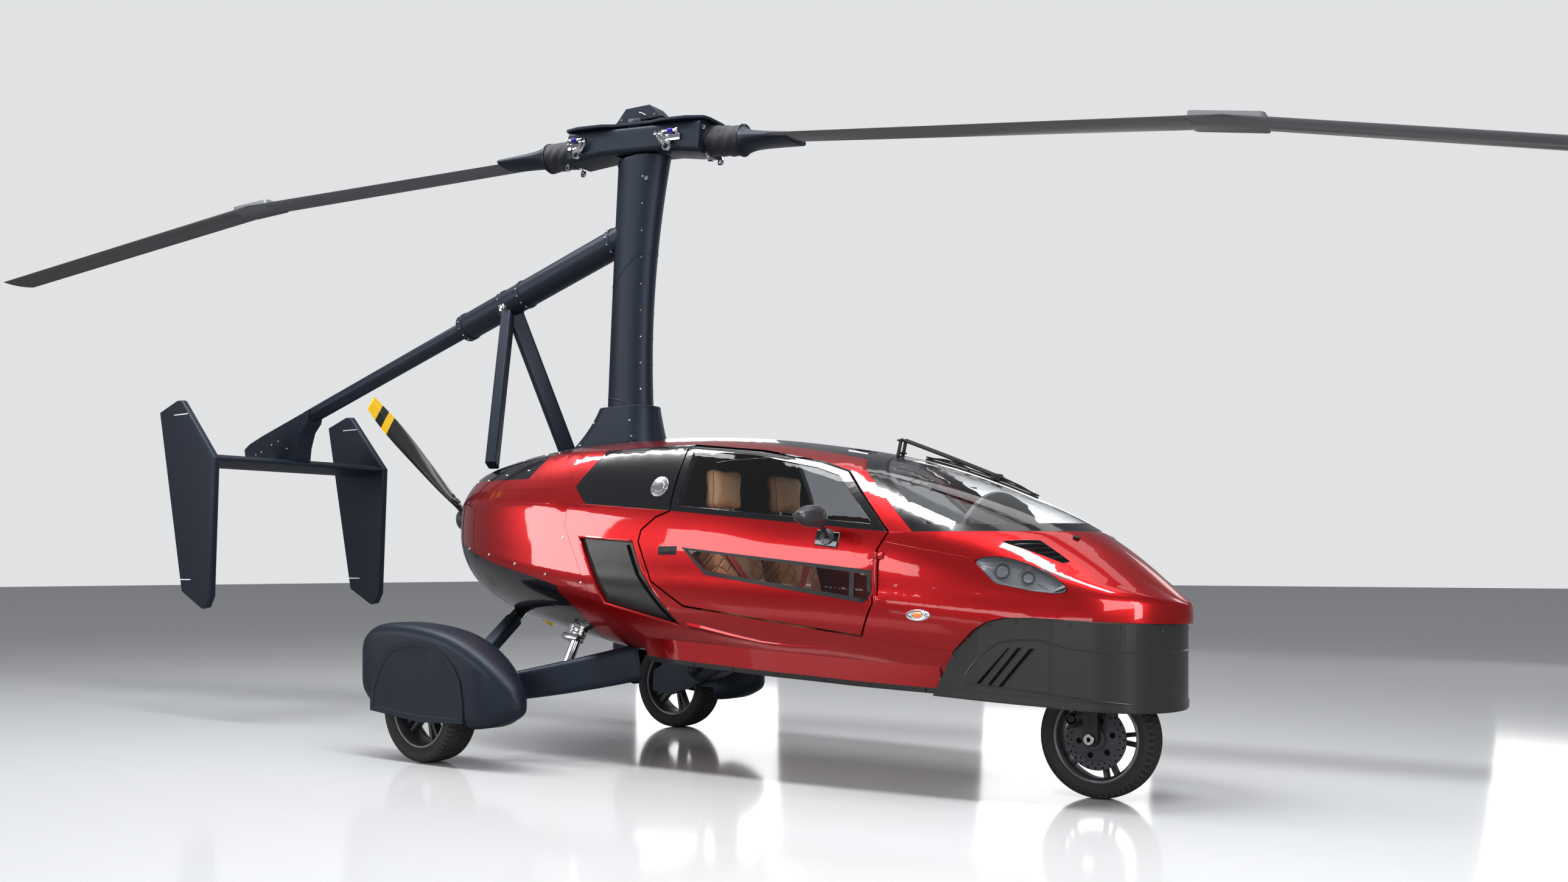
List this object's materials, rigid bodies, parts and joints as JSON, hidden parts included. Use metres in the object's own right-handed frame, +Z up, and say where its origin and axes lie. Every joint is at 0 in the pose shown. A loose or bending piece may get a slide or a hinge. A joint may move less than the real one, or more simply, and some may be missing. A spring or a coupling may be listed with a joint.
{
  "type": "two-seat roadable gyrocopter",
  "caption": "Enclosed three-wheeled gyrocopter with a two-bladed teetering rotor on a mast, a pusher propeller, a twin-fin tail on a sliding boom and two side doors.",
  "frame": {"origin": "on the ground under the rotor hub", "axes": "+X forward, +Y to the left, +Z up"},
  "size_m": [10.6952, 2, 3.197],
  "materials": {
    "red_paint": "deep metallic red under clear coat",
    "black_gloss": "gloss black",
    "dark_glass": "tinted clear glazing",
    "lamp_glass": "clear lamp cover",
    "carbon": "woven carbon under gloss resin",
    "cabin_trim": "dark cabin trim",
    "tan_leather": "tan leather",
    "engine_metal": "cast alloy",
    "blue_black": "gloss blue-black",
    "steel": "bright steel",
    "blade_grey": "satin dark grey with yellow tips",
    "black_paint": "satin black",
    "dark_alloy": "dark alloy",
    "tyre_rubber": "black rubber"
  },
  "bodies": {
    "airframe": {"tub": "red_paint", "roof_shell": "red_paint", "nose_shell": "red_paint", "headlamps": "lamp_glass", "windscreen": "dark_glass", "belly_cowl": "carbon", "rear_cowls": "red_paint", "aft_side_panels": "black_gloss", "engine_deck": "black_gloss", "side_intakes": "carbon", "bulkheads": "cabin_trim", "seats": "tan_leather", "headrests": "tan_leather", "seat_plinth": "cabin_trim", "dashboard": "cabin_trim", "steering_wheel": "cabin_trim", "engine": "engine_metal", "prop_gearbox": "engine_metal", "nose_skirt": "carbon", "steering_head": "steel", "rear_arms": "blue_black", "pods": "blue_black", "braces": "blue_black", "dampers": "steel", "mast": "blue_black", "mast_foot": "blue_black", "boom_outer": "blue_black", "boom_struts": "blue_black"},
    "door_right": {"door_right": "red_paint", "door_panes_right": "dark_glass", "mirror_right": "black_gloss"},
    "door_left": {"door_left": "red_paint", "door_panes_left": "dark_glass", "mirror_left": "black_gloss"},
    "front_fork": {"front_fork": "black_paint", "front_axle": "steel"},
    "front_wheel": {"front_tyre": "tyre_rubber", "front_rim": "dark_alloy"},
    "rear_wheel_right": {"rear_tyre_right": "tyre_rubber", "rear_rim_right": "dark_alloy"},
    "rear_wheel_left": {"rear_tyre_left": "tyre_rubber", "rear_rim_left": "dark_alloy"},
    "rotor_spindle": {"rotor_tower": "steel"},
    "rotor": {"rotor_hub": "blue_black", "rotor_cuffs": "blue_black", "rotor_blade_front": "blade_grey", "rotor_blade_rear": "blade_grey"},
    "tail_boom": {"boom_inner": "blue_black", "tail_post": "blue_black", "tailplane": "blue_black", "fins": "blue_black"},
    "propeller": {"prop_hub": "black_paint", "prop_blades": "black_paint"}
  },
  "joints": [
    {"name": "rotor_spin", "type": "hinge", "parent": "airframe", "child": "rotor_spindle", "pos_m": [0, 0, 2.97], "axis": [0, 0, 1], "continuous": true},
    {"name": "rotor_teeter", "type": "hinge", "parent": "rotor_spindle", "child": "rotor", "pos_m": [0, 0, 3.105], "axis": [-0.1045, 0.9945, 0], "range_deg": [-8.2, 0]},
    {"name": "propeller_spin", "type": "hinge", "parent": "airframe", "child": "propeller", "pos_m": [-1.3, 0, 1.18], "axis": [1, 0, 0], "continuous": true},
    {"name": "steering", "type": "hinge", "parent": "airframe", "child": "front_fork", "pos_m": [2.42, 0, 0.6], "axis": [0, 0, 1], "range_deg": [-32, 32]},
    {"name": "front_wheel_spin", "type": "hinge", "parent": "front_fork", "child": "front_wheel", "pos_m": [2.42, 0, 0.242], "axis": [0, 1, 0], "continuous": true},
    {"name": "rear_wheel_right_spin", "type": "hinge", "parent": "airframe", "child": "rear_wheel_right", "pos_m": [-0.545, -0.8975, 0.255], "axis": [0, 1, 0], "continuous": true},
    {"name": "rear_wheel_left_spin", "type": "hinge", "parent": "airframe", "child": "rear_wheel_left", "pos_m": [-0.545, 0.8975, 0.255], "axis": [0, 1, 0], "continuous": true},
    {"name": "door_right_swing", "type": "hinge", "parent": "airframe", "child": "door_right", "pos_m": [1.702, -0.53597, 0.875], "axis": [0, 0, 1], "range_deg": [0, 60]},
    {"name": "door_left_swing", "type": "hinge", "parent": "airframe", "child": "door_left", "pos_m": [1.702, 0.53597, 0.875], "axis": [0, 0, -1], "range_deg": [0, 60]},
    {"name": "tail_slide", "type": "slide", "parent": "airframe", "child": "tail_boom", "axis": [0.9629, 0, 0.2699], "range_m": [0, 0.85]}
  ]
}
